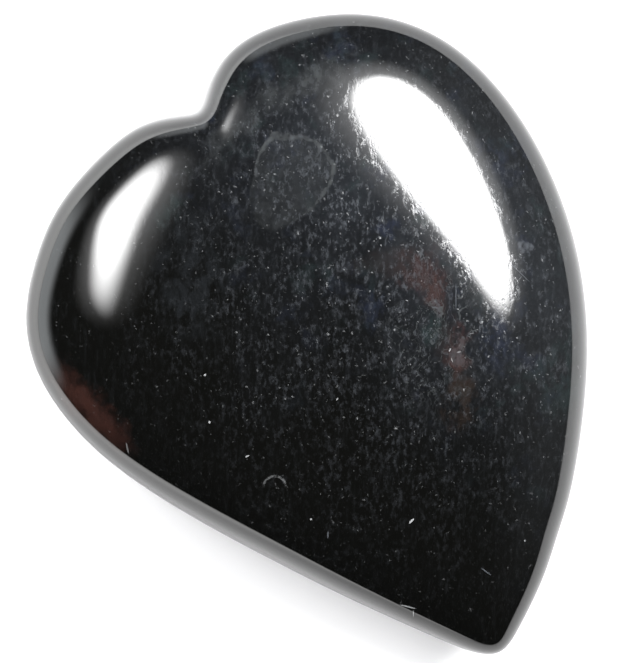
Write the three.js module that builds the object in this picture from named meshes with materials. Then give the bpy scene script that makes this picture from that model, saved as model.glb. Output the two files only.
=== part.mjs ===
// A puffy heart carved from one piece of tiger eye, dyed dark and polished all over.
// Both faces are domed and meet in a rounded girdle, and the heart lies on a small flat
// ground on its lower dome. Millimetres, +Z up. The lobes point to +Y and the tip to -Y.
// The origin is under the middle of the heart's outline, on the plane it rests on.

import * as THREE from "three";

// Driving dimensions.
const WIDTH = 30;
const LENGTH = 36.2;
const CROWN_RISE = 4.9; // girdle to the top of the upper dome
const BELLY_DROP = 4.8; // girdle to where the lower dome would end if it weren't ground flat
const FLAT_REACH = 0.3; // edge of the flat, as a share of the way from the middle to the girdle
const DOME_FULLNESS = 0.25; // 0 is an elliptical dome, and more is flatter on top and blunter at the rim
const TIP_FADE = 2; // power with which rings lose the tip and the lobes on the way to the middle
const NOTCH_FADE = 6; // power with which they lose the notch, which is cut only into the edge

// The middle of the domes and the oval that their rings turn into there, as shares of
// half the width and half the length.
const DOME_MIDDLE = new THREE.Vector2(0.04, 0.115);
const DOME_OVAL = new THREE.Vector2(0.94, 0.9);

// The girdle's outline, anticlockwise from the notch, as shares of half the width and half the length.
// The hand-carved lobes differ: the one at +X is larger and stands higher. Points sit closer
// together where the outline turns tightly. A third number is how deep the notch is cut there, which
// is how far the point lies below a line that bridges the two lobes.
const OUTLINE = [
  [-0.037, 0.88, 0.09], // notch
  [-0.107, 0.898, 0.064],
  [-0.254, 0.923, 0.017], // top of the smaller lobe
  [-0.459, 0.89],
  [-0.661, 0.817],
  [-0.832, 0.697],
  [-0.954, 0.553],
  [-0.998, 0.361], // widest point of the smaller lobe
  [-0.934, 0.105],
  [-0.768, -0.171],
  [-0.58, -0.416],
  [-0.403, -0.63],
  [-0.204, -0.852],
  [-0.082, -0.971],
  [0.001, -0.999], // tip
  [0.1, -0.96],
  [0.259, -0.866],
  [0.392, -0.765],
  [0.536, -0.642],
  [0.763, -0.382],
  [0.917, -0.115],
  [0.988, 0.138],
  [0.992, 0.413], // widest point of the larger lobe
  [0.893, 0.696],
  [0.643, 0.909],
  [0.298, 0.998], // top of the larger lobe
  [0.096, 0.957, 0.029],
  [0.013, 0.902, 0.074],
].map(([x, y, cut = 0]) => new THREE.Vector3(x * WIDTH, y * LENGTH, cut * LENGTH).divideScalar(2));

// Mesh density: squares along each side of the grid that is wrapped onto a dome, and how many
// of its nested squares lie inside the flat, whose edge is a ring of the mesh.
const GRID = 48;
const FLAT_SQUARES = 5;

// Control points of the closed uniform cubic B-spline that passes through the given points.
// Each pass solves (before + 4 * here + after) / 6 = point for here, and the error halves.
function splineControls(points) {
  const passes = 40;
  let controls = points.map((p) => p.clone());
  for (let pass = 0; pass < passes; pass++) {
    controls = controls.map((_, i) => {
      const before = controls.at(i - 1);
      const after = controls[(i + 1) % controls.length];
      return points[i].clone().multiplyScalar(6).sub(before).sub(after).divideScalar(4);
    });
  }
  return controls;
}

// The point on that spline at turn, which runs from 0 to 1 once round.
function splinePoint(controls, turn) {
  const count = controls.length;
  const along = turn * count;
  const span = Math.floor(along);
  const t = along - span;
  const weights = [
    (1 - t) ** 3 / 6,
    (3 * t ** 3 - 6 * t ** 2 + 4) / 6,
    (-3 * t ** 3 + 3 * t ** 2 + 3 * t + 1) / 6,
    t ** 3 / 6,
  ];
  const point = new THREE.Vector3();
  weights.forEach((weight, i) => {
    point.addScaledVector(controls[(span - 1 + i + count) % count], weight);
  });
  return point;
}

// Height of a dome over its girdle as a share of its rise, at a ring from 0, the middle, to 1, the girdle.
// It ends upright at the girdle, so the two domes meet there in one round edge.
function domeHeight(ring) {
  return Math.sqrt((1 - ring ** 2) * (1 + DOME_FULLNESS * ring ** 2));
}

// Ring of a nested square at reach, which runs from 0, the grid's centre, to 1, its edge. The rings
// are the sines of evenly spaced angles, so they bunch towards the girdle, where the dome turns down.
// Those inside the flat and those outside it are spaced on their own.
function ringAt(reach) {
  const flatAngle = Math.asin(FLAT_REACH);
  const flatSide = (2 * FLAT_SQUARES) / GRID;
  if (reach < flatSide) return Math.sin((flatAngle * reach) / flatSide);
  return Math.sin(THREE.MathUtils.mapLinear(reach, flatSide, 1, flatAngle, Math.PI / 2));
}

// Where the ring crosses the spoke at turn, seen from above. The outermost ring is the outline.
// Further in, the rings bridge the notch, and towards the middle they turn into ovals.
function ringPoint(controls, middle, oval, ring, turn) {
  const { x, y, z: cut } = splinePoint(controls, turn);
  const bridged = new THREE.Vector2(x, y + cut).sub(middle);
  const angle = bridged.angle();
  const radius = 1 / Math.hypot(Math.cos(angle) / oval.x, Math.sin(angle) / oval.y);
  const point = new THREE.Vector2(Math.cos(angle), Math.sin(angle)).multiplyScalar(radius);
  point.lerp(bridged, ring ** TIP_FADE);
  point.y -= cut * ring ** NOTCH_FADE;
  return point.multiplyScalar(ring).add(middle);
}

// Ring and turn of a corner of the square grid, which is wrapped onto a dome as nested squares:
// the square's edge is the girdle and its centre is the dome's middle.
function ringAndTurn(column, row) {
  const u = (2 * column) / GRID - 1;
  const v = (2 * row) / GRID - 1;
  const reach = Math.max(Math.abs(u), Math.abs(v));
  if (reach === 0) return { reach, turn: 0 };
  let eighths;
  if (v === reach) eighths = u >= 0 ? 8 - u / reach : -u / reach;
  else if (u === -reach) eighths = 2 - v / reach;
  else if (v === -reach) eighths = 4 + u / reach;
  else eighths = 6 + v / reach;
  return { reach, turn: (eighths % 8) / 8 };
}

function heartGeometry() {
  const half = new THREE.Vector2(WIDTH, LENGTH).divideScalar(2);
  const controls = splineControls(OUTLINE);
  const middle = DOME_MIDDLE.clone().multiply(half);
  const oval = DOME_OVAL.clone().multiply(half);
  const girdleHeight = BELLY_DROP * domeHeight(FLAT_REACH);
  const positions = [];
  const indices = [];
  const side = GRID + 1;

  // One dome. rise is negative for the belly, whose heights stop at the flat.
  function addDome(rise) {
    const start = positions.length / 3;
    for (let row = 0; row < side; row++) {
      for (let column = 0; column < side; column++) {
        const { reach, turn } = ringAndTurn(column, row);
        const ring = ringAt(reach);
        const point = ringPoint(controls, middle, oval, ring, turn);
        const height = girdleHeight + rise * domeHeight(ring);
        positions.push(point.x, point.y, Math.max(height, 0));
      }
    }
    for (let row = 0; row < GRID; row++) {
      for (let column = 0; column < GRID; column++) {
        const a = start + row * side + column;
        const [b, c, d] = [a + 1, a + side + 1, a + side];
        const towardsMiddle = column < GRID / 2 === row < GRID / 2;
        const faces = towardsMiddle ? [a, b, c, a, c, d] : [a, b, d, b, c, d];
        indices.push(...(rise > 0 ? faces : faces.reverse()));
      }
    }
  }
  addDome(CROWN_RISE);
  addDome(-BELLY_DROP);
  const geometry = new THREE.BufferGeometry();
  geometry.setAttribute("position", new THREE.Float32BufferAttribute(positions, 3));
  geometry.setIndex(indices);
  geometry.computeVertexNormals();
  return geometry;
}

const polishedStone = new THREE.MeshStandardMaterial({
  name: "dyed_tiger_eye",
  color: 0x1c2026,
  roughness: 0.1,
  metalness: 0,
});

const heart = new THREE.Mesh(heartGeometry(), polishedStone);
heart.name = "tiger_eye_heart";

const part = new THREE.Group();
part.add(heart);

export default part;
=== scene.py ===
"""A polished heart of dyed tiger eye on a white surface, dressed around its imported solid.

Lengths are metres in the part's own frame, except where a name says mm. +Z is up, the lobes
point to +Y and the tip to -Y, and the origin is on the surface under the middle of the outline.
"""

import logging
import math
from dataclasses import dataclass
from enum import Enum
from typing import Any

import bpy
import numpy as np
from mathutils import Matrix, Vector


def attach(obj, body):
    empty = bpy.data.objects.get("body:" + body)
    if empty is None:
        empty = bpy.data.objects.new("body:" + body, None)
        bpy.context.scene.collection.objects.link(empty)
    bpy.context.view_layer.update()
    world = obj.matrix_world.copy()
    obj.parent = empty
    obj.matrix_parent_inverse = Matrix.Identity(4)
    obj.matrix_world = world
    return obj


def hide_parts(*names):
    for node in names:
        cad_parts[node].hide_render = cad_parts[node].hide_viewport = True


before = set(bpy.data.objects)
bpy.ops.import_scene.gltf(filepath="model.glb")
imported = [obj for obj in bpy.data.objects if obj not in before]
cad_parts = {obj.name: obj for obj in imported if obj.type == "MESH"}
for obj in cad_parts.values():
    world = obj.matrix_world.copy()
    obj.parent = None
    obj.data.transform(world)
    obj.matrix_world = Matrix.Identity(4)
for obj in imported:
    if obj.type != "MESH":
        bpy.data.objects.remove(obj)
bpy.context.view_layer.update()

LOG = logging.getLogger("dyed_tiger_eye")
MM = 0.001

Colour = tuple[float, float, float]
Point = tuple[float, float, float]
Spot = tuple[float, float]


class Signal:
    """A number that a shader works out, with the arithmetic that the finishes use."""

    def __init__(self, bench: "ShaderBench", socket: bpy.types.NodeSocket) -> None:
        """Wraps an output socket of a node on the bench."""
        self.bench = bench
        self.socket = socket

    def __add__(self, other: "Signal | float") -> "Signal":
        """The sum."""
        return self.bench.maths("ADD", self, other)

    def __sub__(self, other: "Signal | float") -> "Signal":
        """The difference."""
        return self.bench.maths("SUBTRACT", self, other)

    def __rsub__(self, other: float) -> "Signal":
        """The difference, with this signal taken away."""
        return self.bench.maths("SUBTRACT", other, self)

    def __mul__(self, other: "Signal | float") -> "Signal":
        """The product."""
        return self.bench.maths("MULTIPLY", self, other)

    def __or__(self, other: "Signal | float") -> "Signal":
        """The larger of the two, which joins two masks."""
        return self.bench.maths("MAXIMUM", self, other)

    __radd__ = __add__
    __rmul__ = __mul__
    __ror__ = __or__


class ShaderBench:
    """Adds nodes to one node tree, so that a finish reads as a recipe."""

    def __init__(self, tree: bpy.types.NodeTree) -> None:
        """Empties the tree and keeps it."""
        tree.nodes.clear()
        self.tree = tree

    def add(
        self,
        kind: str,
        settings: dict[str, Any] | None = None,
        inputs: dict[str | int, Any] | None = None,
    ) -> bpy.types.Node:
        """Adds one node.

        Args:
            kind: The node's type.
            settings: Its own properties, which are set first.
            inputs: Values or links by socket name or number, where a name means the socket in use.

        Returns:
            The node.
        """
        node = self.tree.nodes.new(kind)
        for name, value in (settings or {}).items():
            setattr(node, name, value)
        for name, value in (inputs or {}).items():
            if isinstance(name, int):
                socket = node.inputs[name]
            else:
                socket = next(s for s in node.inputs if s.name == name and s.enabled)
            self.feed(socket, value)
        return node

    def feed(self, socket: bpy.types.NodeSocket, value: Any) -> None:
        """Links a signal or a socket to an input, or sets a plain value on it.

        Args:
            socket: The input.
            value: A signal, an output socket, a number or a tuple.
        """
        if isinstance(value, Signal):
            value = value.socket
        if isinstance(value, bpy.types.NodeSocket):
            self.tree.links.new(value, socket)
        elif socket.type == "RGBA" and len(value) == 3:
            socket.default_value = (*value, 1.0)
        else:
            socket.default_value = value

    def maths(self, operation: str, *values: "Signal | float") -> Signal:
        """One Math node on one or two values."""
        node = self.add("ShaderNodeMath", {"operation": operation}, dict(enumerate(values)))
        return Signal(self, node.outputs[0])

    def vectors(self, operation: str, first: Any, second: Any) -> bpy.types.NodeSocket:
        """One Vector Math node on two vectors."""
        node = self.add("ShaderNodeVectorMath", {"operation": operation}, {0: first, 1: second})
        return node.outputs["Vector"]

    def object_mm(self) -> bpy.types.NodeSocket:
        """Object coordinates in millimetres."""
        place = self.add("ShaderNodeTexCoord").outputs["Object"]
        return self.scaled(place, 1 / MM)

    def within(self, place: Any, centre: Point, stretch: Point, lean: float) -> bpy.types.NodeSocket:
        """Coordinates in a frame that is moved, turned about Z and stretched.

        Args:
            place: The coordinates to turn into the frame's own.
            centre: The frame's origin.
            stretch: The length of each of the frame's axes.
            lean: The turn of the frame's X axis about Z, in degrees.

        Returns:
            A vector socket: the place less the centre, turned back and divided by the stretch.
        """
        node = self.add(
            "ShaderNodeMapping",
            {"vector_type": "TEXTURE"},
            {
                "Vector": place,
                "Location": centre,
                "Rotation": (0.0, 0.0, math.radians(lean)),
                "Scale": stretch,
            },
        )
        return node.outputs["Vector"]

    def scaled(self, place: Any, cells: Point | float) -> bpy.types.NodeSocket:
        """Coordinates times a number of cells in a unit, one for each axis or one for all."""
        return self.vectors("MULTIPLY", place, cells if isinstance(cells, tuple) else (cells,) * 3)

    def length(self, vector: Any) -> Signal:
        """The length of a vector."""
        node = self.add("ShaderNodeVectorMath", {"operation": "LENGTH"}, {0: vector})
        return Signal(self, node.outputs["Value"])

    def towards(self, vector: Any, way: Point) -> Signal:
        """How far a vector points in a given way: their dot product."""
        node = self.add("ShaderNodeVectorMath", {"operation": "DOT_PRODUCT"}, {0: vector, 1: way})
        return Signal(self, node.outputs["Value"])

    def axis(self, vector: Any, name: str) -> Signal:
        """One coordinate of a vector, by its letter."""
        node = self.add("ShaderNodeSeparateXYZ", inputs={"Vector": vector})
        return Signal(self, node.outputs[name])

    def ease(self, value: Any, start: float, end: float) -> Signal:
        """A smooth step: 0 at start and before it, 1 at end and past it, in either direction."""
        node = self.add(
            "ShaderNodeMapRange",
            {"interpolation_type": "SMOOTHSTEP"},
            {"Value": value, "From Min": start, "From Max": end},
        )
        return Signal(self, node.outputs["Result"])

    def noise(
        self,
        place: Any,
        cells: Point | float,
        detail: float = 3.0,
        roughness: float = 0.6,
    ) -> bpy.types.Node:
        """Noise over a surface.

        Args:
            place: Coordinates.
            cells: The number of its cells in a unit of them, one for each axis or one for all.
            detail: How many finer layers it has.
            roughness: How strong each layer is against the one before.

        Returns:
            The node, with a number and a colour whose three channels differ.
        """
        vector = self.scaled(place, cells)
        return self.add(
            "ShaderNodeTexNoise",
            inputs={"Vector": vector, "Scale": 1.0, "Detail": detail, "Roughness": roughness},
        )

    def cloud(
        self,
        place: Any,
        cells: Point | float,
        detail: float = 3.0,
        roughness: float = 0.6,
    ) -> Signal:
        """The same noise as a number, which is 0.5 on average."""
        return Signal(self, self.noise(place, cells, detail, roughness).outputs[0])

    def dots(self, place: Any, radius: float, share: float) -> Signal:
        """Round dots scattered one to a cell, in some of the cells.

        Args:
            place: Coordinates in which a cell is one unit across.
            radius: The dots' radius in those units.
            share: The share of cells that have a dot.

        Returns:
            A mask that is 1 in the middle of a dot and fades to 0 at its radius, less in some dots.
        """
        cells = self.add("ShaderNodeTexVoronoi", inputs={"Vector": place, "Scale": 1.0})
        luck = self.axis(cells.outputs["Color"], "X")
        chosen = self.ease(luck, 1 - share, 1 - 0.3 * share)
        return self.ease(cells.outputs["Distance"], radius, 0.3 * radius) * chosen

    def blend(self, factor: Any, first: Any, second: Any) -> bpy.types.NodeSocket:
        """Mixes two colours."""
        node = self.add(
            "ShaderNodeMix",
            {"data_type": "RGBA"},
            {"Factor": factor, "A": first, "B": second},
        )
        return next(s for s in node.outputs if s.enabled)


class Edge(Enum):
    """How a mark on the stone ends: the reach from which it fades, and the reach where it is gone.

    A broken mark also shows the stone's own mottle.
    """

    SOFT = (0.15, 1.25)
    BROKEN = (0.35, 1.0)
    CRISP = (0.75, 1.0)


@dataclass(frozen=True)
class Area:
    """An ellipsoid that takes in a part of the surface.

    Attributes:
        middle_mm: Its middle.
        half_mm: Its half length along its lean, its half width, and its half depth.
        lean: The turn of its length from +X about Z, in degrees.
    """

    middle_mm: Point
    half_mm: Point
    lean: float

    def inside(self, bench: ShaderBench, place: Any) -> bpy.types.NodeSocket:
        """Coordinates of its own, from its middle, whose length is 1 at its edge."""
        return bench.within(place, self.middle_mm, self.half_mm, self.lean)

    def reach(self, bench: ShaderBench, place: Any) -> Signal:
        """The share of the way from its middle to its edge."""
        return bench.length(self.inside(bench, place))


@dataclass(frozen=True)
class Speckle:
    """A mask made of noise.

    Attributes:
        cells: How many cells the noise has in a unit of the place, for each axis or for all.
        start: The noise at which the mask starts.
        full: The noise at which it is full.
        detail: How many finer layers the noise has.
        roughness: How strong each layer is against the one before.
    """

    cells: Point | float
    start: float
    full: float
    detail: float = 3.0
    roughness: float = 0.6

    def mask(self, bench: ShaderBench, place: Any) -> Signal:
        """Makes the mask.

        Args:
            bench: The bench of the stone's material.
            place: Coordinates in millimetres, or in an area's own frame.

        Returns:
            The noise, eased from its start to where it is full.
        """
        noise = bench.cloud(place, self.cells, self.detail, self.roughness)
        return bench.ease(noise, self.start, self.full)


@dataclass(frozen=True)
class Mark(Area):
    """A patch of another colour in the stone, or a trace on its polish.

    Attributes:
        colour: Its linear colour.
        strength: How far it covers what is under it, up to 1.
        edge: How it ends.
    """

    colour: Colour
    strength: float
    edge: Edge = Edge.SOFT

    def mask(self, bench: ShaderBench, place: Any) -> Signal:
        """Where the mark shows: 1 well inside the ellipsoid, 0 outside it.

        Args:
            bench: The bench of the stone's material.
            place: Object coordinates in millimetres, ragged where the edge should be.

        Returns:
            The mask, times the mark's strength.
        """
        full, gone = self.edge.value
        return bench.ease(self.reach(bench, place), gone, full) * self.strength


@dataclass(frozen=True)
class DyedTigerEye:
    """The finish: blue-black dyed fibrous quartz under a high polish, with the photo's marks.

    Attributes:
        fibre_lean: The turn of the fibres' coordinates about Z, in degrees, with the fibres along Y.
        crowd: Where the flecks crowd together, and fewer of them lie towards its edge.
        lamp_side_way: How the stone gets lighter towards the lamps, along each axis of the fibres'
            coordinates: dye tone and painted lamp light together.
        lamp_side_waver: How far patches of noise shift that, in the same measure.
        lamp_side_reach: Where in that measure the stone starts to be lighter, and is lightest.
        drift_mm: How far noise shifts the edges of the patches.
        silk: The fine threads in the fibres.
        bundle: Where a bundle of pale strands shows.
        strands: The strands, in the bundle's own frame.
        patches: Where flecks and sparks are thick and where they are thin.
        chips: The flecks.
        sparks: The small bright specks.
        egg: The smudge, which is narrower at one end by its taper.
        dried_ring: The ring of dried specks.
        ior: The stone's index of refraction.
        polish: The roughness of the polish where it is clean.
        relief_height: How deep the fullest fleck is.
    """

    slot: str = "dyed_tiger_eye"
    fibre_lean: float = -28.8
    black: Colour = (0.0015, 0.0015, 0.0013)
    ink: Colour = (0.0056, 0.0062, 0.0073)
    slate: Colour = (0.0115, 0.0130, 0.0150)
    fibre: Colour = (0.0190, 0.0208, 0.0235)
    fleck: Colour = (0.0520, 0.0560, 0.0630)
    dust: Colour = (0.2400, 0.2450, 0.2500)
    brown: Colour = (0.0280, 0.0145, 0.0132)
    russet: Colour = (0.0200, 0.0082, 0.0064)
    umber: Colour = (0.0120, 0.0080, 0.0060)
    blue: Colour = (0.0088, 0.0108, 0.0180)
    teal: Colour = (0.0100, 0.0165, 0.0165)
    # Pale grey of the strands and the smudge, and of the painted reflection band.
    pale_grey_and_glow: Colour = (0.0280, 0.0300, 0.0310)
    veil: Colour = (0.0190, 0.0150, 0.0145)
    crowd: Area = Area((3.0, 2.5, 8.0), (11.0, 13.0, 9.0), 0.0)
    lamp_side_way: Point = (0.62, 0.80, 0.0)
    lamp_side_waver: float = 14.0
    lamp_side_reach: Spot = (1.2, 18.5)
    drift_mm: float = 2.4
    silk: Speckle = Speckle((7.5, 1.5, 2.0), 0.30, 0.75, 2.0)
    bundle: Area = Area((4.6, -0.8, 9.2), (5.2, 3.4, 3.0), 52.0)
    strands: Speckle = Speckle((4.5, 26.0, 3.0), 0.54, 0.68)
    patches: Speckle = Speckle((0.8, 0.6, 0.7), 0.36, 0.62)
    chips: Speckle = Speckle((4.0, 2.2, 3.0), 0.47, 0.73, 4.0, 0.72)
    sparks: Speckle = Speckle((5.5, 4.5, 5.0), 0.655, 0.80, 2.0, 0.5)
    egg: Area = Area((1.6, 10.2, 8.9), (2.75, 1.9, 6.0), 31.0)
    egg_taper: float = 0.36
    egg_waver: float = 0.7
    egg_gaps: Speckle = Speckle(2.2, 0.38, 0.62)
    dried_ring: Area = Area((-6.8, -3.8, 8.4), (0.6, 0.6, 4.0), -28.8)
    ring_gaps: Speckle = Speckle(6.0, 0.42, 0.60, 2.0, 0.5)
    ring_strength: float = 0.2
    ior: float = 1.54
    polish: float = 0.05
    relief_height: float = 0.0022 * MM

    def stains(self) -> list[Mark]:
        """The large patches: iron left red-brown, dye that took blue or teal, and a slate patch of
        painted light beside the smaller lobe's highlight.
        """
        return [
            Mark((-13.5, 4.9, 6.7), (3.4, 1.0, 2.5), -75.0, self.russet, 1.0),
            Mark((5.6, 2.6, 9.2), (1.9, 1.3, 2.0), -20.0, self.brown, 0.55, Edge.BROKEN),
            Mark((5.9, 1.2, 9.2), (1.5, 0.7, 2.0), 60.0, self.brown, 0.7, Edge.BROKEN),
            Mark((5.4, -2.1, 9.1), (2.1, 0.8, 2.0), 61.0, self.brown, 0.85, Edge.BROKEN),
            Mark((4.2, -4.6, 9.0), (2.2, 1.1, 2.0), 61.0, self.umber, 0.7, Edge.BROKEN),
            Mark((5.2, 5.5, 9.2), (0.8, 0.6, 1.5), 61.0, self.blue, 0.8, Edge.BROKEN),
            Mark((2.4, 2.1, 9.4), (1.7, 0.9, 1.5), 61.0, self.blue, 0.6, Edge.BROKEN),
            Mark((7.4, -2.6, 8.8), (2.0, 1.5, 2.0), 61.0, self.blue, 0.55, Edge.BROKEN),
            Mark((4.8, -0.3, 9.3), (1.3, 0.8, 1.5), 61.0, self.teal, 0.7, Edge.BROKEN),
            Mark((9.9, -6.4, 7.4), (3.2, 1.8, 3.0), 61.0, self.teal, 0.35, Edge.BROKEN),
            Mark((5.4, -2.2, 9.1), (0.9, 0.6, 1.5), 61.0, self.fleck, 0.4, Edge.BROKEN),
            Mark((11.2, 0.7, 8.0), (0.8, 0.4, 1.5), 61.0, self.fleck, 0.8, Edge.BROKEN),
            Mark((4.9, 3.8, 9.3), (2.6, 0.9, 2.0), -20.0, self.veil, 0.3),
            Mark((5.7, 1.5, 9.2), (2.1, 0.9, 2.0), -80.0, self.veil, 0.3),
            Mark((5.2, -1.7, 9.2), (1.9, 0.8, 2.0), -85.0, self.veil, 0.3),
            Mark((-4.6, 12.0, 8.0), (1.6, 1.0, 2.0), 30.0, self.teal, 0.35, Edge.BROKEN),
            # Painted light: a soft slate glow beside the smaller lobe's highlight.
            Mark((-5.2, 8.2, 8.8), (4.4, 2.6, 3.0), 61.0, self.slate, 0.3, Edge.BROKEN),
        ]

    def glow_band_marks(self) -> list[Mark]:
        """Painted reflection: a grey band of the lamps' glow on the polish, from the notch to the far
        end of the larger lobe's highlight.
        """
        return [
            Mark((6.0, 14.5, 7.7), (2.4, 0.9, 2.0), -10.0, self.pale_grey_and_glow, 0.9),
            Mark((3.8, 14.6, 7.8), (2.4, 0.8, 2.0), 0.0, self.pale_grey_and_glow, 0.8),
            Mark((1.6, 14.3, 8.0), (1.7, 0.7, 2.0), 20.0, self.pale_grey_and_glow, 0.7),
            Mark((-0.6, 13.7, 8.0), (1.8, 0.8, 2.0), 35.0, self.pale_grey_and_glow, 0.6),
        ]

    def traces(self) -> list[Mark]:
        """The small crisp marks on the polish: lint, scratches, specks and the outline of a chip."""
        return [
            Mark((-1.2, -9.0, 8.5), (0.20, 0.06, 1.0), 16.0, self.dust, 0.9, Edge.CRISP),
            Mark((10.4, 0.1, 8.2), (1.1, 0.03, 1.5), -72.0, self.fleck, 0.5, Edge.CRISP),
            Mark((-7.19, 3.36, 8.9), (0.07, 0.06, 1.0), 0.0, self.dust, 0.8, Edge.CRISP),
            Mark((10.3, 0.9, 8.3), (0.10, 0.10, 1.0), 0.0, self.dust, 0.8, Edge.CRISP),
            Mark((-3.5, -13.2, 6.6), (0.50, 0.04, 1.5), -43.0, self.dust, 0.9, Edge.CRISP),
            Mark((-3.4, -13.7, 6.4), (0.20, 0.04, 1.5), -110.0, self.dust, 0.7, Edge.CRISP),
            Mark((1.1, -13.5, 7.5), (0.40, 0.04, 1.5), -65.0, self.fleck, 0.7, Edge.CRISP),
            Mark((6.7, 0.5, 9.1), (0.80, 0.04, 1.0), 61.0, self.fleck, 0.5, Edge.CRISP),
            Mark((5.03, -1.85, 9.2), (0.12, 0.04, 1.0), 30.0, self.dust, 0.6, Edge.CRISP),
            Mark((5.41, -2.19, 9.2), (0.13, 0.03, 1.0), -20.0, self.dust, 0.5, Edge.CRISP),
            Mark((4.86, -2.38, 9.2), (0.15, 0.03, 1.0), 80.0, self.dust, 0.5, Edge.CRISP),
            Mark((5.42, 0.55, 9.3), (0.25, 0.04, 1.0), -40.0, self.fleck, 0.6, Edge.CRISP),
            Mark((-7.3, -1.6, 8.6), (0.12, 0.05, 1.0), 0.0, self.dust, 0.8, Edge.CRISP),
            Mark((-5.9, -6.3, 8.2), (0.08, 0.06, 1.0), 61.0, self.dust, 0.7, Edge.CRISP),
            Mark((-5.5, -7.5, 8.0), (0.22, 0.05, 1.0), 61.0, self.fleck, 0.8, Edge.CRISP),
            Mark((-1.6, -1.2, 9.4), (0.09, 0.05, 1.0), 20.0, self.dust, 0.5, Edge.CRISP),
            Mark((-8.2, 1.0, 8.6), (0.08, 0.06, 1.0), 61.0, self.dust, 0.8, Edge.CRISP),
            Mark((-12.7, 1.8, 6.7), (0.35, 0.05, 1.0), 75.0, self.dust, 0.3, Edge.CRISP),
        ]

    def smudge(self, bench: ShaderBench, place: Any) -> Signal:
        """An egg-shaped smudge: a faint smear with a brighter rim, wider towards the larger lobe.

        Args:
            bench: The bench of the stone's material.
            place: Object coordinates in millimetres.

        Returns:
            A mask that is 1 on the brightest part of the rim.
        """
        egg = self.egg.inside(bench, place)
        along, aside = bench.axis(egg, "X"), bench.axis(egg, "Y")
        aside = aside * (1.0 - self.egg_taper * along)
        waver = bench.cloud(place, 0.7, 2.0)
        reach = along * along + aside * aside + self.egg_waver * (waver - 0.5)
        broken = 0.4 + 0.6 * self.egg_gaps.mask(bench, place)
        rim = bench.ease(reach, 0.78, 0.94) * bench.ease(reach, 1.12, 0.98) * broken
        smear_and_glow = bench.ease(reach, 1.04, 0.82) * broken
        return rim * bench.ease(along, -1.1, 0.6) | smear_and_glow * 0.25

    def ring(self, bench: ShaderBench, place: Any) -> Signal:
        """A small broken ring of dried specks, open at its lower end.

        Args:
            bench: The bench of the stone's material.
            place: Object coordinates in millimetres.

        Returns:
            A mask that is 1 on the specks.
        """
        circle = self.dried_ring.inside(bench, place)
        reach = bench.length(circle)
        rim = bench.ease(reach, 0.85, 0.96) * bench.ease(reach, 1.15, 1.04)
        upper = bench.ease(bench.axis(circle, "Y"), -0.1, 0.5)
        return rim * self.ring_gaps.mask(bench, place) * upper * self.ring_strength

    def material(self) -> bpy.types.Material:
        """Builds the stone's material.

        Returns:
            The material: a dark fibrous body with a polished surface, a little duller on its flecks.
        """
        material = bpy.data.materials.new(self.slot)
        material.use_nodes = True
        bench = ShaderBench(material.node_tree)
        place = bench.object_mm()
        grain = bench.within(place, (0.0, 0.0, 0.0), (1.0, 1.0, 1.0), self.fibre_lean)
        wander = bench.noise(place, 0.9).outputs["Color"]
        drift = bench.vectors("SUBTRACT", wander, (0.5, 0.5, 0.5))
        ragged = bench.vectors("ADD", place, bench.scaled(drift, self.drift_mm))

        # Where the stone is lighter, from dye tone and from painted lamp light on the side towards
        # the lamps, and where it is busy with flecks.
        zone = bench.cloud(grain, (0.16, 0.10, 0.16), 3.0, 0.55)
        crowd = bench.ease(self.crowd.reach(bench, place), 1.5, 0.3)
        lightness = bench.towards(grain, self.lamp_side_way) + self.lamp_side_waver * zone
        dye_and_painted_light = bench.ease(lightness, *self.lamp_side_reach) * (0.3 + 0.7 * crowd)
        # Flecks and sparks are thicker on the side that is painted lighter. This makes them partly
        # painted glints and partly grain.
        busy = crowd * (0.28 + 0.72 * dye_and_painted_light)

        # The fibres, the mottle of the dye and its tints, which show more where the stone is painted
        # lighter towards the lamps.
        streaks = bench.cloud(grain, (3.4, 0.55, 0.8))
        fibres = bench.ease(streaks, 0.46, 0.74) * self.silk.mask(bench, grain)
        bundle = self.bundle.inside(bench, ragged)
        strands = self.strands.mask(bench, bundle) * bench.ease(bench.length(bundle), 1.0, 0.3)
        mottle = bench.cloud(grain, (1.1, 0.7, 0.9), 4.0, 0.68)
        broken = bench.ease(mottle, 0.38, 0.6) * (streaks + 0.45)
        tints = bench.noise(ragged, 0.42, 2.0).outputs["Color"]
        bluish = bench.ease(bench.axis(tints, "X"), 0.52, 0.70) * broken * dye_and_painted_light
        greenish = bench.ease(bench.axis(tints, "Y"), 0.54, 0.72) * broken * dye_and_painted_light

        # Painted light and shade together with the dye's own tone: black on the side away from the
        # lamps, ink and slate towards them.
        body = bench.blend(dye_and_painted_light, self.black, self.ink)
        body = bench.blend(bench.ease(dye_and_painted_light, 0.45, 1.0) * 0.5, body, self.slate)
        body = bench.blend(bench.ease(mottle, 0.48, 0.72) * dye_and_painted_light * 0.6, body, self.slate)
        body = bench.blend(bluish * 0.8, body, self.blue)
        body = bench.blend(greenish * 0.6, body, self.teal)
        for mark in self.stains():
            mask = mark.mask(bench, ragged)
            if mark.edge is Edge.BROKEN:
                mask = mask * broken
            body = bench.blend(mask, body, mark.colour)
        # Painted reflection: the lamps' glow mirrored as a grey band on the polish, broken by the
        # mottle, where the polish is also a little rougher.
        smear_and_glow: Signal | float = 0.0
        for mark in self.glow_band_marks():
            smear_and_glow = smear_and_glow | mark.mask(bench, ragged)
        smear_and_glow = smear_and_glow * (0.3 + 0.7 * bench.ease(mottle, 0.34, 0.62))
        body = bench.blend(smear_and_glow * 0.6, body, self.pale_grey_and_glow)
        body = bench.blend(fibres * (0.1 + 0.35 * dye_and_painted_light), body, self.fibre)
        body = bench.blend(strands, body, self.pale_grey_and_glow)
        body = bench.blend(self.smudge(bench, place), body, self.pale_grey_and_glow)

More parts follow.
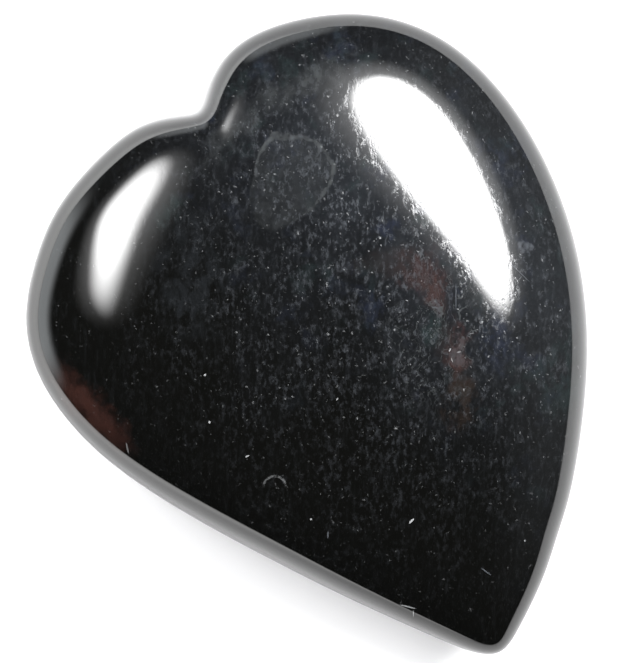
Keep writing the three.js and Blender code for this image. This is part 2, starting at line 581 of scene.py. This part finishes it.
        patchy = self.patches.mask(bench, grain)
        flecks = self.chips.mask(bench, grain) * (0.05 + 0.95 * busy) * (0.25 + 0.75 * patchy)
        sparks = self.sparks.mask(bench, place) * (0.15 + 0.85 * busy) * (0.3 + 0.7 * patchy)
        crumbs = bench.dots(bench.scaled(place, 0.5), 0.036, 0.5)
        body = bench.blend(flecks * 0.9, body, self.fleck)
        specks = sparks | crumbs | self.ring(bench, place)
        body = bench.blend(specks, body, self.dust)
        for mark in self.traces():
            body = bench.blend(mark.mask(bench, place), body, mark.colour)

        relief = 0.03 * fibres - flecks - 0.6 * specks
        bump = bench.add(
            "ShaderNodeBump",
            inputs={"Strength": 1.0, "Distance": self.relief_height, "Height": relief},
        )
        shader = bench.add(
            "ShaderNodeBsdfPrincipled",
            inputs={
                "Base Color": body,
                "Roughness": self.polish + 0.1 * flecks + 0.2 * specks + 0.1 * smear_and_glow,
                "IOR": self.ior,
                "Normal": bump.outputs["Normal"],
            },
        )
        bench.add("ShaderNodeOutputMaterial", inputs={"Surface": shader.outputs["BSDF"]})
        return material


@dataclass(frozen=True)
class PuffyHeart:
    """The stone: two domes that meet in a round girdle, with a small flat ground on the lower one."""

    node: str = "tiger_eye_heart"
    name: str = "polished_heart"
    width: float = 30.0 * MM
    length: float = 36.2 * MM
    crown_rise: float = 4.9 * MM
    belly_drop: float = 4.8 * MM
    flat_reach: float = 0.3
    fullness: float = 0.25
    tip_fade: float = 2.0
    notch_fade: float = 6.0
    middle: Spot = (0.04, 0.115)
    oval: Spot = (0.94, 0.9)
    half_grid: int = 100
    flat_squares: int = 19
    hand_seed: int = 11
    hand_waves: int = 7
    hand_wave_mm: Spot = (7, 14)
    hand_wave_share: float = 0.0022
    finish: DyedTigerEye = DyedTigerEye()
    outline: tuple[Point, ...] = (
        (-0.037, 0.88, 0.09),  # notch
        (-0.107, 0.898, 0.064),
        (-0.254, 0.923, 0.017),  # top of the smaller lobe
        (-0.459, 0.89, 0),
        (-0.661, 0.817, 0),
        (-0.832, 0.697, 0),
        (-0.954, 0.553, 0),
        (-0.998, 0.361, 0),  # widest point of the smaller lobe
        (-0.934, 0.105, 0),
        (-0.768, -0.171, 0),
        (-0.58, -0.416, 0),
        (-0.403, -0.63, 0),
        (-0.204, -0.852, 0),
        (-0.082, -0.971, 0),
        (0.001, -0.999, 0),  # tip
        (0.1, -0.96, 0),
        (0.259, -0.866, 0),
        (0.392, -0.765, 0),
        (0.536, -0.642, 0),
        (0.763, -0.382, 0),
        (0.917, -0.115, 0),
        (0.988, 0.138, 0),
        (0.992, 0.413, 0),  # widest point of the larger lobe
        (0.893, 0.696, 0),
        (0.643, 0.909, 0),
        (0.298, 0.998, 0),  # top of the larger lobe
        (0.096, 0.957, 0.029),
        (0.013, 0.902, 0.074),
    )

    def half_size(self) -> np.ndarray:
        """Half the width and half the length."""
        return np.array([self.width, self.length]) / 2

    def dome_height(self, ring: np.ndarray) -> np.ndarray:
        """Height over the girdle as a share of the rise: the root of (1 - r^2) times (1 + f r^2)."""
        return np.sqrt(np.clip((1 - ring**2) * (1 + self.fullness * ring**2), 0, None))

    def girdle_height(self) -> float:
        """Height of the girdle over the surface that the flat rests on."""
        return self.belly_drop * float(self.dome_height(np.array(self.flat_reach)))

    def rim(self, turn: np.ndarray) -> np.ndarray:
        """The girdle seen from above: a closed cubic B-spline through the outline's points.

        Each given point is a sixth of the control point before it, four sixths of its own and a
        sixth of the one after it, which is one cyclic linear system.

        Args:
            turn: Shares of the way round, from 0 at the notch, anticlockwise.

        Returns:
            The places, with X, Y and the depth of the notch on the last axis.
        """
        count = len(self.outline)
        each = np.eye(count)
        shares = (4 * each + np.roll(each, 1, axis=0) + np.roll(each, -1, axis=0)) / 6
        half_width, half_length = self.half_size()
        full_size = np.array([half_width, half_length, half_length])
        controls = np.linalg.solve(shares, np.array(self.outline) * full_size)
        span = np.floor(turn * count).astype(int)
        t = (turn * count - span)[..., None]
        weights = (
            (1 - t) ** 3 / 6,
            (3 * t**3 - 6 * t**2 + 4) / 6,
            (-3 * t**3 + 3 * t**2 + 3 * t + 1) / 6,
            t**3 / 6,
        )
        return sum(w * controls[(span + i - 1) % count] for i, w in enumerate(weights))

    def seen_from_above(self, ring: np.ndarray, turn: np.ndarray) -> np.ndarray:
        """Where rings and spokes cross: the rim at ring 1, and ovals about the middle further in.

        A crossing is the ring's share of the way from the middle to a mix of the oval and of the
        rim with its notch bridged, at the same angle. The rim's part is the ring to the power of
        the tip fade, and the notch is cut from it by its depth times the ring to its own fade.

        Args:
            ring: Shares of the way from the middle to the girdle.
            turn: Shares of the way round.

        Returns:
            The places, with X and Y on the last axis.
        """
        middle = np.array(self.middle) * self.half_size()
        semi = np.array(self.oval) * self.half_size()
        rim = self.rim(turn)
        cut = rim[..., 2:] * np.array([0.0, 1.0])
        bridged = rim[..., :2] + cut - middle
        facing = bridged / np.linalg.norm(bridged, axis=-1, keepdims=True)
        rounded = facing / np.linalg.norm(facing / semi, axis=-1, keepdims=True)
        reach = ring[..., None]
        mixed = rounded + reach**self.tip_fade * (bridged - rounded)
        return middle + reach * (mixed - reach**self.notch_fade * cut)

    def rings_and_turns(self) -> tuple[np.ndarray, np.ndarray]:
        """Wraps a square grid onto a dome as nested squares, with the girdle as its edge.

        The reach of a corner is the larger of its two coordinates, from 0 at the centre to 1 at
        the edge. Rings are sines of angles that grow evenly with the reach, on their own inside
        the flat and outside it. Turns count eighths of the way round from the notch.

        Returns:
            The ring and the turn of each corner of the grid.
        """
        steps = np.arange(-self.half_grid, self.half_grid + 1) / self.half_grid
        u, v = np.meshgrid(steps, steps)
        reach = np.maximum(np.abs(u), np.abs(v))
        safe = np.where(reach == 0, 1, reach)
        top = np.where(u >= 0, 8 - u / safe, -u / safe)
        eighths = np.select(
            [v == reach, u == -reach, v == -reach],
            [top, 2 - v / safe, 4 + u / safe],
            6 + v / safe,
        )
        flat_side = self.flat_squares / self.half_grid
        flat_angle = math.asin(self.flat_reach)
        angle = np.interp(reach, [0, flat_side, 1], [0, flat_angle, math.pi / 2])
        return np.sin(angle), (eighths % 8) / 8

    def hand_polish(self, across: np.ndarray) -> np.ndarray:
        """Slow waves that a hand polish leaves.

        They are a few sines of random heading, phase and length, over the root of their number.

        Args:
            across: Places on the dome seen from above, with X and Y on the last axis.

        Returns:
            The waves' height at each place, as a share of the dome's.
        """
        draw = np.random.default_rng(self.hand_seed)
        waves = np.zeros(across.shape[:-1])
        for _ in range(self.hand_waves):
            heading, phase = draw.uniform(0, 2 * math.pi, 2)
            spacing = draw.uniform(*self.hand_wave_mm) * MM
            ahead = across @ np.array([math.cos(heading), math.sin(heading)])
            waves += np.sin(2 * math.pi * ahead / spacing + phase)
        return waves * self.hand_wave_share / math.sqrt(self.hand_waves)

    def surface(self, rise: float) -> np.ndarray:
        """One dome as a grid of points, with heights that stop at the surface it rests on.

        Args:
            rise: Height from the girdle to the top of the dome, negative for the lower dome.

        Returns:
            The points, one for each corner of the grid.
        """
        ring, turn = self.rings_and_turns()
        across = self.seen_from_above(ring, turn)
        swell = self.dome_height(ring) * (1 + self.hand_polish(across) * (rise > 0))
        height = np.clip(self.girdle_height() + rise * swell, 0, None)
        return np.concatenate([across, height[..., None]], axis=-1)

    def triangles(self, corner: np.ndarray, upwards: bool) -> np.ndarray:
        """Splits each square of a grid in two, along the diagonal that points at the middle.

        Args:
            corner: The vertex number at each corner of the grid.
            upwards: Whether the faces look up.

        Returns:
            Three vertex numbers for each triangle.
        """
        a, b = corner[:-1, :-1], corner[:-1, 1:]
        c, d = corner[1:, 1:], corner[1:, :-1]
        low = np.arange(2 * self.half_grid) < self.half_grid
        inward = (low[:, None] == low[None, :])[..., None]
        first = np.where(inward, np.stack([a, b, c], -1), np.stack([a, b, d], -1))
        second = np.where(inward, np.stack([a, c, d], -1), np.stack([b, c, d], -1))
        faces = np.concatenate([first.reshape(-1, 3), second.reshape(-1, 3)])
        return faces if upwards else faces[:, ::-1]

    def build(self) -> bpy.types.Object:
        """Builds the heart's mesh, with both domes sewn together along the girdle.

        Returns:
            The object, dressed and riding on the part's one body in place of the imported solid.
        """
        side = 2 * self.half_grid + 1
        crown, belly = self.surface(self.crown_rise), self.surface(-self.belly_drop)
        points = np.concatenate([crown.reshape(-1, 3), belly[1:-1, 1:-1].reshape(-1, 3)])
        upper = np.arange(side * side).reshape(side, side)
        lower = upper.copy()
        lower[1:-1, 1:-1] = side * side + np.arange((side - 2) ** 2).reshape(side - 2, side - 2)
        faces = np.concatenate([self.triangles(upper, True), self.triangles(lower, False)])

        mesh = bpy.data.meshes.new(self.name)
        mesh.from_pydata(points, [], faces)
        mesh.shade_smooth()
        mesh.materials.append(self.finish.material())
        heart = bpy.data.objects.new(self.name, mesh)
        bpy.context.scene.collection.objects.link(heart)
        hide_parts(self.node)
        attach(heart, "root")
        return heart


@dataclass(frozen=True)
class Softbox:
    """An oval light panel that faces the stone, brightest in its middle.

    Attributes:
        name: The light's name.
        direction: Where it stands, as seen from the stone.
        size: Its long and its short diameter.
        roll: The turn of its long diameter from level, in degrees.
        radiance: How bright its middle is, where a white floor in the photo is about 2.
        even: The share of the way to its edge over which it is evenly bright.
        taper: How far it narrows towards the start of its long diameter.
        distance: How far away it is.
    """

    name: str
    direction: Point
    size: Spot
    roll: float
    radiance: float
    even: float
    taper: float = 0.0
    distance: float = 0.40

    def hang(self, target: Vector) -> None:
        """Hangs the light.

        Args:
            target: The point that it faces.
        """
        away = Vector(self.direction).normalized()
        level = Vector((0, 0, 1)).cross(away).normalized()
        long_axis = Matrix.Rotation(math.radians(self.roll), 3, away) @ level
        turned = Matrix((long_axis, away.cross(long_axis), away)).transposed()
        light = bpy.data.lights.new(self.name, "AREA")
        light.shape = "ELLIPSE"
        light.size, light.size_y = self.size
        face = math.pi / 4 * self.size[0] * self.size[1]
        light.energy = self.radiance * math.pi * face
        self.grade(light)
        panel = bpy.data.objects.new(self.name, light)
        panel.matrix_world = Matrix.LocRotScale(target + away * self.distance, turned, None)
        bpy.context.scene.collection.objects.link(panel)

    def grade(self, light: bpy.types.Light) -> None:
        """Dims the panel from its even middle to nothing at its edge, by its own two parameters."""
        light.use_nodes = True
        bench = ShaderBench(light.node_tree)
        spot = bench.add("ShaderNodeNewGeometry").outputs["Parametric"]
        oval = bench.within(spot, (0.5, 0.5, 0.0), (0.5, 0.5, 1.0), 0.0)
        along, aside = bench.axis(oval, "X"), bench.axis(oval, "Y")
        aside = aside * (1.0 + self.taper - self.taper * along)
        reach = bench.maths("SQRT", along * along + aside * aside)
        glow = bench.ease(reach, 1.0, self.even)
        emission = bench.add("ShaderNodeEmission", inputs={"Strength": glow})
        bench.add("ShaderNodeOutputLight", inputs={"Surface": emission.outputs["Emission"]})


@dataclass(frozen=True)
class PaleSide:
    """A paler part of the dim room that the polish mirrors.

    Attributes:
        turn: The direction of its middle, from the photo's right to its up, in degrees.
        from_above: The angle of its middle from straight above, in degrees.
        edge: The cosines to its middle at which it starts and is full.
        gain: How many times the room's light it adds.
        below: The sines of the height over the horizon at which it is gone and is full.
    """

    turn: float
    from_above: float
    edge: Spot
    gain: float
    below: Spot | None = None


@dataclass(frozen=True)
class Studio:
    """The white surface, the two softboxes, the dim room and the camera."""

    floor_radius: float = 2.0
    floor_sides: int = 96
    floor_colour: Colour = (0.66, 0.66, 0.662)
    near_glow: Colour = (0.400, 0.395, 0.405)  # the white surface's own light around the stone
    far_glow: Colour = (0.14, 0.14, 0.14)  # and further away
    far_reach_mm: Spot = (20.0, 45.0)  # the distances over which one turns into the other
    left_glow: Colour = (2.2, 2.2, 2.18)  # its light on the photo's left
    left_reach_mm: Spot = (-10.0, -50.0)  # the places towards the photo's right over which it comes
    room: Colour = (0.0290, 0.0303, 0.0310)
    pale_sides: tuple[PaleSide, ...] = (
        PaleSide(20.0, 70.0, (0.60, 0.94), 7.5),
        PaleSide(176.0, 90.0, (0.78, 0.95), 115.0, (0.42, 0.22)),
        PaleSide(104.0, 90.0, (0.94, 0.99), 60.0, (0.34, 0.14)),
    )
    photo_right: Spot = (0.8763, -0.4818)  # the photo's right and its up, seen on the stone
    photo_up: Spot = (0.4818, 0.8763)
    camera_lean: Spot = (-5.0, 1.5)  # degrees off the vertical, towards the photo's right and its up
    camera_distance: float = 300 * MM
    camera_near: float = 10 * MM
    photo_size: Spot = (640, 663)
    heart_pixel: Spot = (344.4, 362.4)  # where the middle of the outline lies in the photo
    metres_per_pixel: float = 0.05468 * MM
    sensor: float = 36.0
    softboxes: tuple[Softbox, ...] = (
        Softbox("right_core", (0.558, 0.146, 0.817), (0.340, 0.205), -8.0, 36.0, 0.80, 0.15),
        Softbox("right_halo", (0.574, 0.200, 0.794), (0.460, 0.290), -6.0, 6.0, 0.30),
        Softbox("left_core", (-0.361, 0.598, 0.716), (0.345, 0.180), -141.5, 34.0, 0.25, 0.25),
        Softbox("left_halo", (-0.345, 0.612, 0.712), (0.420, 0.250), 40.0, 4.0, 0.10),
    )

    def picture_axes(self) -> tuple[Vector, Vector]:
        """The photo's right and its up, as they lie on the white surface."""
        return Vector((*self.photo_right, 0)), Vector((*self.photo_up, 0))

    def lay_floor(self) -> None:
        """Lays the white surface as a flat round sheet."""
        bpy.ops.mesh.primitive_circle_add(
            vertices=self.floor_sides,
            radius=self.floor_radius,
            fill_type="NGON",
            location=(0, 0, 0),
        )
        floor = bpy.context.object
        floor.name = "white_surface"
        material = bpy.data.materials.new("matt_white")
        material.use_nodes = True
        bench = ShaderBench(material.node_tree)
        place = bench.object_mm()
        rightwards = bench.towards(place, (*self.photo_right, 0.0))
        far = bench.ease(bench.length(place), *self.far_reach_mm)
        glow = bench.blend(far, self.near_glow, self.far_glow)
        glow = bench.blend(bench.ease(rightwards, *self.left_reach_mm), glow, self.left_glow)
        shader = bench.add(
            "ShaderNodeBsdfPrincipled",
            inputs={
                "Base Color": self.floor_colour,
                "Roughness": 1.0,
                "Specular IOR Level": 0.0,
                "Emission Color": glow,
                "Emission Strength": 1.0,
            },
        )
        bench.add("ShaderNodeOutputMaterial", inputs={"Surface": shader.outputs["BSDF"]})
        floor.data.materials.append(material)

    def dim_room(self) -> None:
        """Sets the dim room that the polish mirrors, with its paler sides."""
        world = bpy.data.worlds.new("dim_room")
        world.use_nodes = True
        bench = ShaderBench(world.node_tree)
        way = bench.add("ShaderNodeTexCoord").outputs["Generated"]
        level = bench.towards(way, (0.0, 0.0, 1.0))
        glow: Signal | float = 1.0
        for side in self.pale_sides:
            facing = bench.towards(way, self.picture_way(side.turn, side.from_above))
            pale = side.gain * bench.ease(facing, *side.edge)
            if side.below:
                pale = pale * bench.ease(level, *side.below)
            glow = glow + pale
        shader = bench.add("ShaderNodeBackground", inputs={"Color": self.room, "Strength": glow})
        bench.add("ShaderNodeOutputWorld", inputs={"Surface": shader.outputs["Background"]})
        bpy.context.scene.world = world

    def picture_way(self, turn: float, from_above: float) -> Point:
        """Turns a direction in the photo into one on the stone.

        Args:
            turn: Its turn from the photo's right to its up, in degrees.
            from_above: Its angle from straight above, in degrees.

        Returns:
            A vector of length 1.
        """
        turn, from_above = math.radians(turn), math.radians(from_above)
        right, up = self.picture_axes()
        level = math.cos(turn) * right + math.sin(turn) * up
        return tuple(math.sin(from_above) * level + Vector((0, 0, math.cos(from_above))))

    def set_camera(self, target: Vector) -> None:
        """Sets the camera almost straight above, with the photo's up as its up.

        Args:
            target: The middle of the heart's outline at the height of its girdle.
        """
        right, up = self.picture_axes()
        lean_right, lean_up = (math.tan(math.radians(lean)) for lean in self.camera_lean)
        back = (Vector((0, 0, 1)) + lean_right * right + lean_up * up).normalized()
        up = (up - up.dot(back) * back).normalized()
        right = up.cross(back)
        width, height = self.photo_size
        aside = (self.heart_pixel[0] - width / 2) * self.metres_per_pixel
        below = (self.heart_pixel[1] - height / 2) * self.metres_per_pixel
        aim = target - aside * right + below * up
        camera = bpy.data.cameras.new("camera")
        camera.sensor_width = self.sensor
        camera.lens = self.sensor * self.camera_distance / (self.metres_per_pixel * height)
        camera.clip_start = self.camera_near
        stand = bpy.data.objects.new("camera", camera)
        turned = Matrix((right, up, back)).transposed()
        stand.matrix_world = Matrix.LocRotScale(aim + self.camera_distance * back, turned, None)
        bpy.context.scene.collection.objects.link(stand)
        bpy.context.scene.camera = stand

    def build(self, target: Vector) -> None:
        """Builds the studio around the stone.

        Args:
            target: The middle of the heart's outline at the height of its girdle.
        """
        self.lay_floor()
        self.dim_room()
        for softbox in self.softboxes:
            softbox.hang(target)
        self.set_camera(target)
        bpy.context.scene.view_settings.view_transform = "Standard"


def main() -> None:
    """Builds the heart, then the studio around it."""
    logging.basicConfig(level=logging.INFO, format="%(message)s")
    heart = PuffyHeart()
    stone = heart.build()
    LOG.info("%s: %d triangles", stone.name, len(stone.data.polygons))
    studio = Studio()
    studio.build(Vector((0, 0, heart.girdle_height())))
    LOG.info("studio: %d softboxes", len(studio.softboxes))


if __name__ == "__main__":
    main()
